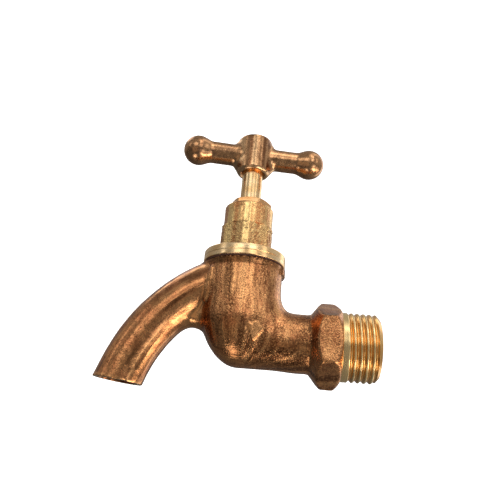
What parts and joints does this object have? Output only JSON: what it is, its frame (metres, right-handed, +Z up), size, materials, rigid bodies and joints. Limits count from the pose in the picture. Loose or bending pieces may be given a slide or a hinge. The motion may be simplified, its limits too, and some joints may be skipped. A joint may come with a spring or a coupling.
{
  "type": "bib tap",
  "caption": "Screw-down water tap with a male threaded inlet, a downward curved plain spout and a tee handle on a rising spindle.",
  "frame": {"origin": "on the inlet axis, at the shoulder where the threaded tail leaves the inlet hexagon", "axes": "+X out of the inlet along its thread, +Z up the spindle, so the spout points to -X"},
  "size_m": [0.0858, 0.0266, 0.0871],
  "materials": {
    "cast_bronze": "as cast, bronze brown, tumbled",
    "turned_brass": "bright, turned",
    "rubber": "matt",
    "fibre": "red vulcanised fibre",
    "packing": "graphited packing",
    "steel": "plain steel"
  },
  "bodies": {
    "tap": {"tap_body": "cast_bronze", "bonnet": "cast_bronze", "bonnet_washer": "fibre", "packing_ring_1": "packing", "packing_ring_2": "packing", "gland_washer": "turned_brass", "gland_nut": "turned_brass"},
    "valve": {"jumper_valve": "turned_brass", "tap_washer": "rubber", "washer_nut": "turned_brass"},
    "headgear": {"spindle": "turned_brass", "tee_handle": "cast_bronze", "handle_screw": "steel"}
  },
  "joints": [
    {"name": "valve_lift", "type": "slide", "parent": "tap", "child": "valve", "axis": [0, 0, 1], "range_m": [0, 0.00508]},
    {"name": "handle_turn", "type": "hinge", "parent": "valve", "child": "headgear", "pos_m": [-0.0315, 0, 0.03], "axis": [0, 0, 1], "range_deg": [0, 720]}
  ],
  "couplings": [
    {"joint": "valve_lift", "follows": "handle_turn", "m_per_rad": 0.00040425}
  ]
}
